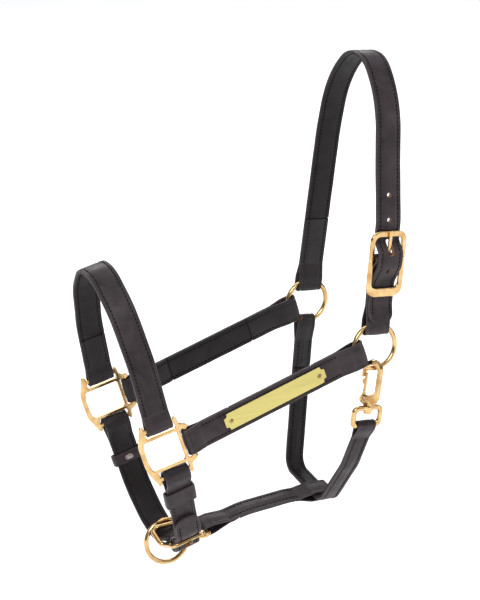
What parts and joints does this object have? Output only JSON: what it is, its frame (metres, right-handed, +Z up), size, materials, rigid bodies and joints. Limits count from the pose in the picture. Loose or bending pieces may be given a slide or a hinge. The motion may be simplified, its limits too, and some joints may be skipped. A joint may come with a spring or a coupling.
{
  "type": "horse headcollar",
  "caption": "Leather horse headcollar with brass squares, rings, buckles, blank name plate and a throat snap; buckle tongues, rings, keeper and snap move.",
  "frame": {"origin": "middle of the crown strap's underside, where it rests on the horse's poll", "axes": "+Z up, -X towards the horse's nose, -Y the horse's near (left) side"},
  "size_m": [0.3041, 0.1608, 0.4977],
  "materials": {
    "strap_leather": "polished dark brown strap leather",
    "lining_leather": "smooth dark brown lining leather",
    "brass": "polished",
    "plate_brass": "polished blank plate",
    "stud_metal": "dull"
  },
  "bodies": {
    "headcollar": {"crown_strap": "strap_leather", "crown_lining": "lining_leather", "crown_buckle_tab": "strap_leather", "near_cheek_strap": "strap_leather", "near_cheek_lining": "lining_leather", "off_cheek_strap": "strap_leather", "off_cheek_lining": "lining_leather", "noseband_strap": "strap_leather", "noseband_lining": "lining_leather", "chin_strap": "strap_leather", "chin_strap_lining": "lining_leather", "near_chin_tab": "strap_leather", "off_chin_band": "strap_leather", "jaw_strap": "strap_leather", "jaw_strap_lining": "lining_leather", "throatlatch_strap": "strap_leather", "throatlatch_lining": "lining_leather", "near_halter_square": "brass", "off_halter_square": "brass", "crown_buckle_frame": "brass", "chin_buckle_frame": "brass", "chin_loop": "brass", "name_plate": "plate_brass", "name_plate_rivets": "brass", "name_plate_burrs": "brass", "snap_swivel_loop": "brass", "off_chin_stud": "stud_metal"},
    "crown_tongue": {"crown_buckle_tongue": "brass"},
    "chin_tongue": {"chin_buckle_tongue": "brass"},
    "near_ring": {"near_cheek_ring": "brass"},
    "off_ring": {"off_cheek_ring": "brass"},
    "lead_ring": {"chin_ring": "brass"},
    "keeper": {"chin_keeper": "strap_leather"},
    "hook": {"snap_hook": "brass", "snap_gate_pin": "brass"},
    "gate": {"snap_gate": "brass"}
  },
  "joints": [
    {"name": "crown_tongue_hinge", "type": "hinge", "parent": "headcollar", "child": "crown_tongue", "pos_m": [-0.01595, -0.0755, -0.17528], "axis": [0.9959, 0, -0.0906], "range_deg": [0, 9]},
    {"name": "chin_tongue_hinge", "type": "hinge", "parent": "headcollar", "child": "chin_tongue", "pos_m": [-0.21051, -0.0375, -0.44168], "axis": [0.9659, 0, 0.2588], "range_deg": [0, 8]},
    {"name": "near_ring_spin", "type": "hinge", "parent": "headcollar", "child": "near_ring", "pos_m": [-0.02411, -0.07, -0.26491], "axis": [-0.0303, -0.9945, 0.1], "continuous": true},
    {"name": "off_ring_spin", "type": "hinge", "parent": "headcollar", "child": "off_ring", "pos_m": [-0.02411, 0.07, -0.26491], "axis": [0, 1, 0], "continuous": true},
    {"name": "lead_ring_swing", "type": "hinge", "parent": "headcollar", "child": "lead_ring", "pos_m": [-0.2076, 0.02039, -0.45256], "axis": [0.9659, 0, 0.2588], "range_deg": [-6, 32]},
    {"name": "keeper_slide", "type": "slide", "parent": "headcollar", "child": "keeper", "axis": [0.2519, 0.2298, -0.9401], "range_m": [0, 0.009]},
    {"name": "snap_swivel", "type": "hinge", "parent": "headcollar", "child": "hook", "pos_m": [-0.02604, -0.07224, -0.2861], "axis": [0.0904, -0.0698, 0.9935], "range_deg": [-6, 3]},
    {"name": "snap_gate_hinge", "type": "hinge", "parent": "hook", "child": "gate", "pos_m": [-0.03207, -0.06458, -0.31823], "axis": [0.8656, 0.4988, -0.0438], "range_deg": [0, 15], "stiffness_Nm_per_rad": 0.05, "springref_deg": -8.59}
  ]
}
